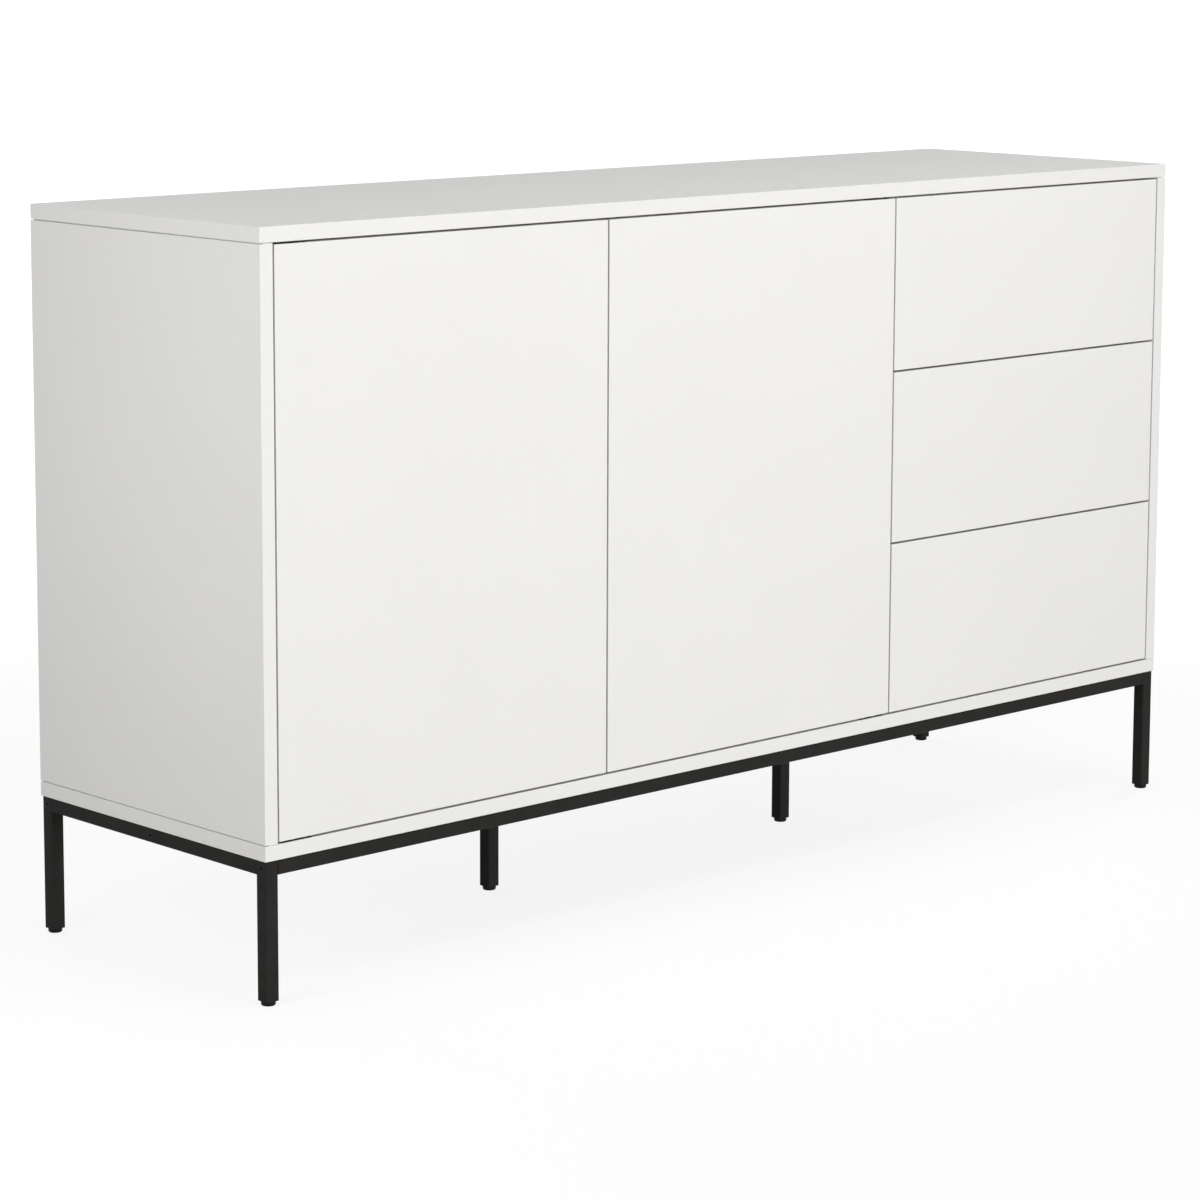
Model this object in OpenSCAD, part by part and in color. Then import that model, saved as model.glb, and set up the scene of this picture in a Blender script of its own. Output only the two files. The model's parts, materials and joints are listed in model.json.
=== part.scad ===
// Sideboard with two doors and three drawers, on a base of square steel tube.
// Millimetres. +X is to the right, +Y to the back and +Z up. The origin is on the floor below
// the middle of the case, and the door and drawer faces look towards -Y.

/* [Overall] */
// Width of the case
overall_w = 1600; // [1400:10:1800]
// Depth of the case, with its doors and drawer fronts
overall_d = 440; // [420:5:560]
// Height of the case, without the base
case_h = 720; // [640:10:800]
// Height of the base, from the floor to the case
base_h = 170; // [120:5:240]

/* [Case boards] */
// Thickness of the top, bottom, side, divider and shelf boards
board_t = 18; // [16:1:22]
// Thickness of the back panels
back_t = 3; // [2.5:0.5:5]
// Distance from the rear edge of the case to the back panels
back_inset = 6; // [6:1:20]
// Depth of the grooves that hold the back panels
back_groove = 6; // [4:0.5:7]
// Distance that the dividers stand behind the doors and drawer fronts
divider_setback = 6; // [6:1:12]

/* [Doors and drawer fronts] */
// Thickness of the doors and drawer fronts
front_t = 18; // [16:1:22]
// Gap round each door and drawer front
front_gap = 2.5; // [2.3:0.1:3.5]
// Width of the drawer fronts
drawer_front_w = 536; // [440:4:620]

/* [Shelves] */
// Height of the shelf pins above the bottom board
shelf_pin_h = 320; // [200:10:440]
// Distance that a shelf stands behind the doors
shelf_setback = 22; // [12:1:60]
// Gap between a shelf and each wall, and the back panel
shelf_gap = 1; // [0.5:0.5:2]
// Diameter of the shelf pins
shelf_pin_d = 5; // [4:0.5:7]
// Length of a shelf pin
shelf_pin_l = 15; // [12:1:20]
// Depth of the holes for the shelf pins
shelf_hole_depth = 8; // [6:0.5:8]
// Distance from one shelf pin hole to the next
shelf_hole_pitch = 32; // [20:1:40]
// Distance of the rows of pin holes from the front of the case and from the back panels
shelf_row_inset = 70; // [60:1:110]

/* [Board fittings] */
// Diameter of the cam locks
cam_d = 15; // [12:1:20]
// Distance from a cam's centre to the joint that it pulls together
cam_edge = 34; // [24:1:44]
// Depth of a cam past the middle of its board
cam_past_middle = 4.5; // [4:0.1:5]
// Diameter of the cam bolts
cam_bolt_d = 6; // [5:0.5:7]
// Diameter of the cam bolts' thread
cam_thread_d = 5; // [4:0.5:6]
// Length of thread in the top or bottom board
cam_thread_l = 11; // [8:1:13]
// Distance of the cams from the front and rear edges of the case
cam_inset = 80; // [60:1:120]
// Diameter of the dowels
dowel_d = 8; // [6:0.5:10]
// Length of the dowels
dowel_l = 35; // [25:1:45]
// Length of dowel in the top or bottom board
dowel_in_deck = 12; // [8:1:13]
// Distance from each cam to the dowel beside it
dowel_from_cam = 32; // [20:1:60]

/* [Door pivots] */
// Diameter of the pivot pins
pivot_pin_d = 4; // [3:0.5:5]
// Distance from a door's edge to its pivot axis
pivot_in = 11; // [11:0.5:16]
// Distance from a door's face to its pivot axis
pivot_back = 7; // [6:0.5:7]
// Length of a pivot pin in the door
pivot_reach = 10; // [6:1:16]
// Length of a pivot plate
plate_l = 45; // [40:1:60]
// Width of a pivot plate
plate_w = 10; // [9:0.5:11]
// Thickness of a pivot plate
plate_t = 3; // [2:0.5:4]
// Distance from the pivot axis to the near end of its plate
plate_near = 6; // [5:0.5:8]
// Distance from the pivot axis to the front edge of its plate
plate_lead = 4; // [3.5:0.5:5]
// Distance from the pivot axis to the plate's first screw
plate_screw = 12; // [10:1:18]
// Diameter of the boss on which a door turns
boss_d = 7.5; // [6:0.5:8]

/* [Door latches] */
// Length of a push latch housing
latch_l = 60; // [50:1:80]
// Width of a push latch housing
latch_w = 12; // [11:0.5:16]
// Height of a push latch housing
latch_h = 16; // [12:1:24]
// Distance of the latches below the top board
latch_drop = 70; // [60:5:140]
// Diameter of a latch plunger
plunger_d = 8; // [6:0.5:9]
// Travel of a latch plunger
plunger_travel = 14; // [8:1:18]
// Length of plunger left in its housing when it is out
plunger_grip = 16; // [10:1:20]
// Diameter of the steel disc that a plunger holds
striker_d = 16; // [12:1:20]
// Thickness of the steel disc that a plunger holds
striker_t = 2; // [1.8:0.1:3]

/* [Drawers] */
// Thickness of a drawer's sides and back
drawer_board_t = 12; // [10:1:16]
// Height of a drawer's sides and back
drawer_side_h = 150; // [80:5:160]
// Height of a drawer's sides above the lower edge of its front
drawer_lift = 25; // [10:1:30]
// Thickness of a drawer's bottom
drawer_bottom_t = 3; // [2.5:0.5:5]
// Height of a drawer's bottom above the lower edges of its sides
drawer_bottom_lift = 12; // [8:1:16]
// Depth of the grooves that hold a drawer's bottom
drawer_groove = 6; // [4:0.5:7]
// Gap between a closed drawer and the back panel
drawer_rear_gap = 5; // [5:1:30]

/* [Drawer runners] */
// Thickness of a runner, from the case to the drawer
runner_t = 12.7; // [12:0.1:14]
// Height of a runner
runner_h = 45; // [35:1:46]
// Thickness of the runner steel
runner_steel = 1.2; // [1:0.1:1.4]
// Gap between the members of a runner
runner_play = 0.3; // [0.2:0.05:0.4]
// Depth of the outer member's channel
runner_channel = 9.5; // [8:0.5:10.5]
// Height of a runner's middle above the lower edges of the drawer's sides
runner_lift = 40; // [30:1:60]
// Distance from a runner's rear end to the rear of the drawer
runner_end_gap = 2; // [2:1:10]
// Distance of the runner screws from the ends of the runner
runner_screw_inset = 100; // [60:5:140]

/* [Screws] */
// Diameter of the countersunk screws
screw_d = 3.4; // [3:0.1:3.6]
// Length of the countersunk screws
screw_l = 13; // [10:1:14]
// Diameter of the countersunk screw heads
screw_head_d = 6.4; // [6:0.1:7]
// Height of the countersunk screw heads
screw_head_h = 1.7; // [1.4:0.1:1.9]

/* [Base] */
// Width of the square tube
tube_w = 18; // [14:1:25]
// Wall of the square tube
tube_wall = 1.5; // [1:0.1:2]
// Radius of the tube's corners
tube_r = 2; // [1.6:0.1:3]
// Distance of the base inside the edges of the case
base_inset = 1.5; // [0:0.5:20]
// Distance between the two middle legs
middle_leg_spacing = 534; // [400:2:800]
// Diameter of a glide
glide_d = 17; // [12:0.5:17.5]
// Height of a glide below its leg
glide_h = 5; // [4:0.5:12]
// Length of a glide's plug inside its leg
glide_plug_l = 15; // [10:1:25]
// Length of the threaded plug in each end of a long rail
rail_plug_l = 14; // [10:1:25]
// Diameter of the bolts that hold the long rails between the end frames
frame_bolt_d = 5; // [4:0.5:6]
// Length of the frame bolts
frame_bolt_l = 28; // [26:1:36]
// Diameter of the frame bolts' countersunk heads
frame_bolt_head_d = 8; // [7:0.5:9]
// Size across the flats of the frame bolts' sockets
frame_bolt_key = 3; // [2:0.5:3]
// Depth of the frame bolts' sockets
frame_bolt_key_h = 2; // [1:0.5:3]
// Size of a mounting tab along its rail
tab_l = 30; // [20:1:50]
// Size of a mounting tab across its rail
tab_w = 20; // [16:1:30]
// Thickness of a mounting tab
tab_t = 3; // [2:0.5:4]
// Distance of the outer mounting tabs from the ends of the case
tab_inset = 110; // [60:5:200]
// Diameter of the screws that hold the base
base_screw_d = 4.5; // [4:0.1:5.5]
// Length of the screws that hold the base
base_screw_l = 15; // [10:1:17]
// Diameter of the base screws' heads
base_screw_head_d = 9; // [8:0.5:12]
// Height of the base screws' heads
base_screw_head_h = 2.5; // [2:0.5:4]

/* [Clearances] */
// Clearance all round a pin, dowel or screw that is fixed in its hole
fixed_fit = 0.05; // [0.02:0.01:0.1]
// Clearance all round a pin or plunger that turns or slides in its bore
running_fit = 0.08; // [0.05:0.01:0.1]
// Gap where a loose or moving piece rests on its seat
seat_gap = 0.3; // [0.2:0.05:0.5]
// Gap between a panel and its groove, or a plate and its recess
groove_play = 0.15; // [0.1:0.05:0.3]

/* [Hidden] */
$fn = 48;

// Length by which a cut passes the face that it starts from
over = 1;

// Colours
white_board = [0.94, 0.937, 0.93];
grey_board = [0.8, 0.79, 0.77];
beech = [0.82, 0.66, 0.45];
black_steel = [0.19, 0.19, 0.185];
black_plastic = [0.09, 0.09, 0.09];
grey_plastic = [0.72, 0.72, 0.71];
zinc_steel = [0.7, 0.71, 0.72];

// The case's planes
left_x = -overall_w / 2;
right_x = overall_w / 2;
front_y = -overall_d / 2;
rear_y = overall_d / 2;
floor_z = base_h + board_t;
ceiling_z = base_h + case_h - board_t;
middle_z = (floor_z + ceiling_z) / 2;
inner_left_x = left_x + board_t;
inner_right_x = right_x - board_t;
front_back_y = front_y + front_t;
divider_y = front_back_y + divider_setback;
back_y = rear_y - back_inset - back_t;

// The row of doors and drawer fronts
door_w = (inner_right_x - inner_left_x - drawer_front_w - 4 * front_gap) / 2;
left_door_x = inner_left_x + front_gap;
middle_door_x = left_door_x + door_w + front_gap;
drawer_front_x = middle_door_x + door_w + front_gap;
front_z = floor_z + front_gap;
front_top_z = ceiling_z - front_gap;
drawer_rows = 3;
drawer_front_h = (front_top_z - front_z - (drawer_rows - 1) * front_gap) / drawer_rows;

// The left faces of the dividers, each centred behind a gap
centre_divider_x = middle_door_x - front_gap / 2 - board_t / 2;
drawer_divider_x = drawer_front_x - front_gap / 2 - board_t / 2;

// The clear widths of the left, middle and drawer bays
LEFT_BAY = [inner_left_x, centre_divider_x];
MIDDLE_BAY = [centre_divider_x + board_t, drawer_divider_x];
DRAWER_BAY = [drawer_divider_x + board_t, inner_right_x];

// Each upright board: its left face, and 1 or -1 where its cams are bored from right or left
LEFT_UPRIGHT = [left_x, 1];
CENTRE_UPRIGHT = [centre_divider_x, -1];
DRAWER_UPRIGHT = [drawer_divider_x, 1];
RIGHT_UPRIGHT = [inner_right_x, -1];
UPRIGHTS = [LEFT_UPRIGHT, CENTRE_UPRIGHT, DRAWER_UPRIGHT, RIGHT_UPRIGHT];
CAM_YS = [front_y + cam_inset, rear_y - cam_inset];
DOWEL_YS = [CAM_YS[0] + dowel_from_cam, CAM_YS[1] - dowel_from_cam];
cam_play = 0.2;
cam_depth = board_t / 2 + cam_past_middle;
cam_bolt_play = 0.75;
cam_bolt_bore_d = cam_bolt_d + 2 * cam_bolt_play;
cam_neck_d = cam_bolt_d / 2;
cam_head_l = 3;
cam_slot_w = 1.5;

// Shelves and their pins
shelf_pin_z = floor_z + shelf_pin_h;
shelf_z = shelf_pin_z + shelf_pin_d / 2 + seat_gap;
SHELF_ROWS = [front_y + shelf_row_inset, back_y - shelf_row_inset];
spare_holes = 2;

// Each door's pivot axis, and 1 or -1 where its plates run to the right or left
LEFT_PIVOT = [left_door_x + pivot_in, 1];
MIDDLE_PIVOT = [middle_door_x + door_w - pivot_in, -1];
PIVOTS = [LEFT_PIVOT, MIDDLE_PIVOT];
plate_end_margin = 8;
PLATE_SCREWS = [plate_screw, plate_l - plate_near - plate_end_margin];
boss_h = front_gap - seat_gap;

// Latches, left and right of the centre divider
left_latch_x = centre_divider_x - latch_w / 2;
middle_latch_x = centre_divider_x + board_t + latch_w / 2;
latch_z = ceiling_z - latch_drop;
plunger_y = front_back_y + striker_t + seat_gap;
plunger_l = divider_y - plunger_y + plunger_travel + plunger_grip;
plunger_bore_l = plunger_travel + plunger_grip + over;

// Drawer boxes and runners; row 0 is the bottom drawer
BOX_X = [DRAWER_BAY[0] + runner_t, DRAWER_BAY[1] - runner_t];
BOX_Y = [front_back_y, back_y - drawer_rear_gap];
RUNNER_Y = [divider_y, BOX_Y[1] - runner_end_gap];
runner_l = RUNNER_Y[1] - RUNNER_Y[0];
runner_step = runner_steel + runner_play;
runner_web_play = 0.5;

// Base
leg_x = overall_w / 2 - base_inset - tube_w / 2;
leg_y = overall_d / 2 - base_inset - tube_w / 2;
rail_z = base_h - tube_w / 2;
tab_beside_rail = tube_w / 2 + tab_w / 2;
tab_y = leg_y - tab_beside_rail;
// The middle of each mounting tab, on the front, rear and middle rails
TABS = concat(
    [for (x = [-1, 0, 1], y = [-1, 1]) [x * (overall_w / 2 - tab_inset), y * tab_y]],
    [for (x = [-1, 1]) [x * middle_leg_spacing / 2, tab_beside_rail]]
);
tab_hole_play = 0.25;
base_bore_d = base_screw_d + 2 * tab_hole_play;
glide_chamfer = 1;

function drawer_z(row) = front_z + row * (drawer_front_h + front_gap);
function box_z(row) = drawer_z(row) + drawer_lift;
function reversed(pair, way) = way > 0 ? pair : [-pair[1], -pair[0]];

// A box between low and high values of x, y and z
module block(x, y, z) {
    translate([x[0], y[0], z[0]])
        cube([x[1] - x[0], y[1] - y[0], z[1] - z[0]]);
}

// A cylinder that lies along x, from its start towards +X or -X
module peg(d, from, to) {
    translate([min(from, to), 0, 0])
        rotate([0, 90, 0])
            cylinder(d = d, h = abs(to - from));
}

// Places its children at an upright's joints with the top and bottom boards. There the origin
// is in the joint, +Z goes into the top or bottom board and +X to the face with the cams.
module at_joints(upright, ys) {
    for (y = ys, end = [0, 1])
        translate([upright[0] + board_t / 2, y, end == 0 ? ceiling_z : floor_z])
            rotate([end * 180, 0, 0])
                rotate([0, 0, upright[1] > 0 ? 0 : 180])
                    children();
}

module cam_lock() {
    face = board_t / 2;
    difference() {
        translate([0, 0, -cam_edge])
            peg(cam_d, face - cam_depth, face);
        translate([0, 0, -cam_edge - cam_head_l])
            cylinder(d = cam_bolt_bore_d, h = cam_edge);
        for (turn = [0, 90])
            translate([face, 0, -cam_edge])
                rotate([turn, 0, 0])
                    cube([2 * over, cam_d / 2, cam_slot_w], center = true);
    }
}

module cam_bolt() {
    neck_l = cam_head_l + over;
    cylinder(d = cam_thread_d, h = cam_thread_l);
    translate([0, 0, neck_l - cam_edge])
        cylinder(d = cam_bolt_d, h = cam_edge - neck_l);
    translate([0, 0, -cam_edge])
        cylinder(d = cam_neck_d, h = neck_l);
    translate([0, 0, -cam_edge - over])
        cylinder(d = cam_bolt_d, h = cam_head_l);
}

// What the cams, bolts and dowels take out of an upright
module upright_fitting_cuts(upright) {
    face = board_t / 2;
    at_joints(upright, CAM_YS) {
        translate([0, 0, -cam_edge])
            peg(cam_d + 2 * cam_play, face - cam_depth - cam_play, face + over);
        translate([0, 0, -cam_edge])
            cylinder(d = cam_bolt_bore_d, h = cam_edge + over);
    }
    at_joints(upright, DOWEL_YS)
        translate([0, 0, dowel_in_deck - dowel_l - over])
            cylinder(d = dowel_d + 2 * fixed_fit, h = dowel_l + over);
}

// What the bolts and dowels take out of the top and bottom boards
module deck_fitting_cuts() {
    for (upright = UPRIGHTS) {
        at_joints(upright, CAM_YS)
            translate([0, 0, -over])
                cylinder(d = cam_thread_d + 2 * fixed_fit, h = cam_thread_l + 2 * over);
        at_joints(upright, DOWEL_YS)
            translate([0, 0, -over])
                cylinder(d = dowel_d + 2 * fixed_fit, h = dowel_in_deck + 2 * over);
    }
}

// A back panel across a bay, or with no play the groove that holds it
module back_sheet(bay, play) {
    reach = back_groove - play;
    block(
        [bay[0] - reach, bay[1] + reach],
        [back_y - groove_play + play, back_y + back_t + groove_play - play],
        [floor_z - reach, ceiling_z + reach]
    );
}

DOOR_BACK = [inner_left_x, drawer_divider_x];

module back_grooves() {
    back_sheet(DOOR_BACK, 0);
    back_sheet(DRAWER_BAY, 0);
}

// Rows of shelf pin holes in the face at x, bored towards +X or -X
module shelf_pin_holes(x, way) {
    for (y = SHELF_ROWS, step = [-spare_holes : spare_holes])
        translate([x, y, shelf_pin_z + step * shelf_hole_pitch])
            peg(shelf_pin_d + 2 * fixed_fit, -way * over, way * shelf_hole_depth);
}

// A countersunk screw with the top of its head at the origin, pointing down
module wood_screw(extra = 0) {
    translate([0, 0, -screw_head_h])
        cylinder(d1 = screw_d + 2 * extra, d2 = screw_head_d + 2 * extra, h = screw_head_h);
    translate([0, 0, -screw_l - extra])
        cylinder(d = screw_d + 2 * extra, h = screw_l - screw_head_h + 2 * extra);
}

// Places its children at a door's upper and lower pivots, with the pin's axis at x = y = 0.
// Heights stay those of the upper pivot, and the lower one is its mirror image.
module at_pivots(pivot) {
    for (end = [0, 1])
        translate([pivot[0], front_y + pivot_back, end * 2 * middle_z])
            mirror([0, 0, end])
                children();
}

module plate_blank(way, z, play = 0) {
    block(
        reversed([-plate_near - play, plate_l - plate_near + play], way),
        [-plate_lead - play, plate_w - plate_lead + play],
        z
    );
}

module at_plate_screws(way) {
    for (x = PLATE_SCREWS)
        translate([way * x, plate_w / 2 - plate_lead, 0])
            children();
}

module case_plate_screws(way, extra = 0) {
    at_plate_screws(way)
        translate([0, 0, ceiling_z])
            rotate([180, 0, 0])
                wood_screw(extra);
}

module door_plate_screws(way, extra = 0) {
    at_plate_screws(way)
        translate([0, 0, front_top_z])
            wood_screw(extra);
}

// Recesses and screw holes for the pivot plates in the top and bottom boards
module case_pivot_cuts() {
    for (pivot = PIVOTS)
        at_pivots(pivot) {
            plate_blank(pivot[1], [ceiling_z - over, ceiling_z + plate_t], groove_play);
            case_plate_screws(pivot[1], fixed_fit);
        }
}

// Places its children at the two runners of a drawer row. There the origin is on the case's
// wall at the runner's middle, and +X points to the drawer.
module at_runners(row) {
    for (side = [0, 1])
        translate([DRAWER_BAY[side], (RUNNER_Y[0] + RUNNER_Y[1]) / 2, box_z(row) + runner_lift])
            rotate([0, 0, side * 180])
                children();
}

// A steel channel along y, with its web at web_x and its lips from x[0] to x[1]
module channel(x, h, web_x) {
    along = [-runner_l / 2, runner_l / 2];
    block([web_x, web_x + runner_steel], along, [-h / 2, h / 2]);
    block(x, along, [-h / 2, runner_steel - h / 2]);
    block(x, along, [h / 2 - runner_steel, h / 2]);
}

module runner_screws(row, extra = 0) {
    at_runners(row)
        for (end = [-1, 1])
            translate([runner_steel, end * (runner_l / 2 - runner_screw_inset), 0])
                rotate([0, 90, 0])
                    wood_screw(extra);
}

module all_runner_screws(extra = 0) {
    for (row = [0 : drawer_rows - 1])
        runner_screws(row, extra);
}

// ---- Case ----

module deck(z) {
    difference() {
        block([left_x, right_x], [front_y, rear_y], z);
        back_grooves();
        deck_fitting_cuts();
        case_pivot_cuts();
    }
}

module top_panel() {
    color(white_board)
        deck([ceiling_z, ceiling_z + board_t]);
}

module bottom_panel() {
    color(white_board)
        difference() {
            deck([base_h, floor_z]);
            for (tab = TABS)
                translate([tab[0], tab[1], base_h - over])
                    cylinder(
                        d = base_screw_d + 2 * fixed_fit,
                        h = base_screw_l - tab_t + 2 * over
                    );
        }
}

// An upright board from its front edge at y to the rear edge
module upright_board(upright, y) {
    difference() {
        block([upright[0], upright[0] + board_t], y, [floor_z, ceiling_z]);
        upright_fitting_cuts(upright);
        back_grooves();
    }
}

module left_side() {
    color(white_board)
        difference() {
            upright_board(LEFT_UPRIGHT, [front_y, rear_y]);
            shelf_pin_holes(inner_left_x, -1);
        }
}

module right_side() {
    color(white_board)
        difference() {
            upright_board(RIGHT_UPRIGHT, [front_y, rear_y]);
            all_runner_screws(fixed_fit);
        }
}

module centre_divider() {
    color(white_board)
        difference() {
            upright_board(CENTRE_UPRIGHT, [divider_y, back_y]);
            shelf_pin_holes(centre_divider_x, 1);
            shelf_pin_holes(centre_divider_x + board_t, -1);
        }
}

module drawer_divider() {
    color(white_board)
        difference() {
            upright_board(DRAWER_UPRIGHT, [divider_y, rear_y]);
            shelf_pin_holes(drawer_divider_x, 1);
            all_runner_screws(fixed_fit);
        }
}

module back_panels() {
    color(grey_board)
        for (bay = [DOOR_BACK, DRAWER_BAY])
            back_sheet(bay, groove_play);
}

module shelf(bay) {
    color(white_board)
        block(
            [bay[0] + shelf_gap, bay[1] - shelf_gap],
            [front_back_y + shelf_setback, back_y - shelf_gap],
            [shelf_z, shelf_z + board_t]
        );
}

module shelf_pins() {
    color(zinc_steel)
        for (bay = [LEFT_BAY, MIDDLE_BAY], y = SHELF_ROWS) {
            translate([bay[0], y, shelf_pin_z])
                peg(shelf_pin_d, -shelf_hole_depth, shelf_pin_l - shelf_hole_depth);
            translate([bay[1], y, shelf_pin_z])
                peg(shelf_pin_d, shelf_hole_depth, shelf_hole_depth - shelf_pin_l);
        }
}

module cam_locks() {
    color(zinc_steel)
        for (upright = UPRIGHTS)
            at_joints(upright, CAM_YS)
                cam_lock();
}

module cam_bolts() {
    color(zinc_steel)
        for (upright = UPRIGHTS)
            at_joints(upright, CAM_YS)
                cam_bolt();
}

module dowels() {
    color(beech)
        for (upright = UPRIGHTS)
            at_joints(upright, DOWEL_YS)
                translate([0, 0, dowel_in_deck - dowel_l])
                    cylinder(d = dowel_d, h = dowel_l);
}

// ---- Base ----

module rounded_square(size, r) {
    square([size, size - 2 * r], center = true);
    square([size - 2 * r, size], center = true);
    for (x = [-1, 1], y = [-1, 1])
        translate([x * (size / 2 - r), y * (size / 2 - r)])
            circle(r = r);
}

// A square tube that stands on the origin
module tube(length) {
    color(black_steel)
        linear_extrude(length)
            difference() {
                rounded_square(tube_w, tube_r);
                rounded_square(tube_w - 2 * tube_wall, tube_r - tube_wall);
            }
}

// Places its children at the bolts of the end frames, with the outer face of the bolt's head
// at the origin and +Z away from the base
module at_frame_bolts() {
    for (x = [-1, 1], y = [-1, 0, 1])
        translate([x * (leg_x + tube_w / 2), y * leg_y, rail_z])
            rotate([0, x * 90, 0])
                children();
}

// A bolt's countersunk head and its shank, pointing down
module frame_bolt_blank(length, extra = 0) {
    head_h = (frame_bolt_head_d - frame_bolt_d) / 2;
    translate([0, 0, -head_h])
        cylinder(d1 = frame_bolt_d + 2 * extra, d2 = frame_bolt_head_d + 2 * extra, h = head_h);
    translate([0, 0, -length])
        cylinder(d = frame_bolt_d + 2 * extra, h = length - head_h + extra);
}

module frame_bolt_bores() {
    at_frame_bolts() {
        frame_bolt_blank(tube_w + rail_plug_l + over, fixed_fit);
        cylinder(d = frame_bolt_head_d + 2 * fixed_fit, h = over);
    }
}

module frame_bolts() {
    color(black_steel)
        at_frame_bolts()
            difference() {
                frame_bolt_blank(frame_bolt_l);
                translate([0, 0, -frame_bolt_key_h])
                    cylinder(d = frame_bolt_key / cos(30), h = frame_bolt_key_h + over, $fn = 6);
            }
}

module corner_leg(x, y) {
    color(black_steel)
        difference() {
            translate([x * leg_x, y * leg_y, glide_h])
                tube(base_h - glide_h);
            frame_bolt_bores();
        }
}

module middle_legs() {
    for (x = [-1, 1])
        translate([x * middle_leg_spacing / 2, 0, glide_h])
            tube(base_h - tube_w - glide_h);
}

// A rail along x between the end frames, with a threaded plug welded into each end
module long_rail(y) {
    length = 2 * leg_x - tube_w;
    color(black_steel)
        difference() {
            translate([-length / 2, y * leg_y, rail_z])
                rotate([0, 90, 0])
                    difference() {
                        linear_extrude(length)
                            rounded_square(tube_w, tube_r);
                        translate([0, 0, rail_plug_l])
                            linear_extrude(length - 2 * rail_plug_l)
                                rounded_square(tube_w - 2 * tube_wall, tube_r - tube_wall);
                    }
            frame_bolt_bores();
        }
}

// A rail along y between the two legs of an end frame
module end_rail(x) {
    length = 2 * leg_y - tube_w;
    color(black_steel)
        difference() {
            translate([x * leg_x, length / 2, rail_z])
                rotate([90, 0, 0])
                    tube(length);
            frame_bolt_bores();
        }
}

module glide() {
    translate([0, 0, glide_h])
        linear_extrude(glide_plug_l)
            rounded_square(tube_w - 2 * tube_wall - 2 * groove_play, tube_r - tube_wall + groove_play);
    translate([0, 0, glide_chamfer])
        cylinder(d = glide_d, h = glide_h - glide_chamfer);
    cylinder(d1 = glide_d - 2 * glide_chamfer, d2 = glide_d, h = glide_chamfer);
}

module glides() {
    color(black_plastic) {
        for (x = [-1, 1], y = [-1, 1])
            translate([x * leg_x, y * leg_y, 0])
                glide();
        for (x = [-1, 1])
            translate([x * middle_leg_spacing / 2, 0, 0])
                glide();
    }
}

module mounting_tabs() {
    color(black_steel)
        for (tab = TABS)
            translate([tab[0], tab[1], base_h - tab_t])
                difference() {
                    block([-tab_l / 2, tab_l / 2], [-tab_w / 2, tab_w / 2], [0, tab_t]);
                    translate([0, 0, -over])
                        cylinder(d = base_bore_d, h = tab_t + 2 * over);
                }
}

module base_screws() {
    color(zinc_steel)
        for (tab = TABS)
            translate([tab[0], tab[1], base_h - tab_t]) {
                cylinder(d = base_screw_d, h = base_screw_l);
                translate([0, 0, -base_screw_head_h])
                    cylinder(d = base_screw_head_d, h = base_screw_head_h);
            }
}

// ---- Door pivots and latches on the case ----

module case_pivot_plates() {
    color(black_steel)
        for (pivot = PIVOTS)
            at_pivots(pivot)
                difference() {
                    union() {
                        plate_blank(pivot[1], [ceiling_z, ceiling_z + plate_t]);
                        translate([0, 0, ceiling_z - boss_h])
                            cylinder(d = boss_d, h = boss_h);
                    }
                    translate([0, 0, ceiling_z - boss_h - over])
                        cylinder(d = pivot_pin_d + 2 * fixed_fit, h = boss_h + plate_t + 2 * over);
                    case_plate_screws(pivot[1], fixed_fit);
                }
}

module pivot_pins() {
    color(black_steel)
        for (pivot = PIVOTS)
            at_pivots(pivot)
                translate([0, 0, front_top_z - pivot_reach])
                    cylinder(d = pivot_pin_d, h = pivot_reach + front_gap + plate_t);
}

module case_screws() {
    color(zinc_steel) {
        for (pivot = PIVOTS)
            at_pivots(pivot)
                case_plate_screws(pivot[1]);
        all_runner_screws();
    }
}

module latch_housings() {
    color(grey_plastic)
        for (x = [left_latch_x, middle_latch_x])
            difference() {
                block(
                    [x - latch_w / 2, x + latch_w / 2],
                    [divider_y, divider_y + latch_l],
                    [latch_z - latch_h / 2, latch_z + latch_h / 2]
                );
                translate([x, divider_y + plunger_bore_l, latch_z])
                    rotate([90, 0, 0])
                        cylinder(d = plunger_d + 2 * running_fit, h = plunger_bore_l + over);
            }
}

module latch_plunger(x) {
    color(grey_plastic)
        translate([x, plunger_y + plunger_l, latch_z])
            rotate([90, 0, 0])
                cylinder(d = plunger_d, h = plunger_l);
}

// ---- Doors ----

// A screw for the striker at x, from the inside of the door
module striker_screw(x, extra = 0) {
    translate([x, front_back_y + striker_t, latch_z])
        rotate([-90, 0, 0])
            wood_screw(extra);
}

module door_panel(door_x, pivot, latch_x) {
    color(white_board)
        difference() {
            block([door_x, door_x + door_w], [front_y, front_back_y], [front_z, front_top_z]);
            at_pivots(pivot) {
                plate_blank(pivot[1], [front_top_z - plate_t, front_top_z + over], groove_play);
                door_plate_screws(pivot[1], fixed_fit);
                translate([0, 0, front_top_z - pivot_reach - over])
                    cylinder(d = pivot_pin_d + over, h = pivot_reach + over);
            }
            striker_screw(latch_x, fixed_fit);
        }
}

module door_plates(pivot) {
    color(black_steel)
        at_pivots(pivot)
            difference() {
                plate_blank(pivot[1], [front_top_z - plate_t, front_top_z]);
                translate([0, 0, front_top_z - plate_t - over])
                    cylinder(d = pivot_pin_d + 2 * running_fit, h = plate_t + 2 * over);
                door_plate_screws(pivot[1], fixed_fit);
            }
}

module door_screws(pivot, latch_x) {
    color(zinc_steel) {
        at_pivots(pivot)
            door_plate_screws(pivot[1]);
        striker_screw(latch_x);
    }
}

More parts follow.
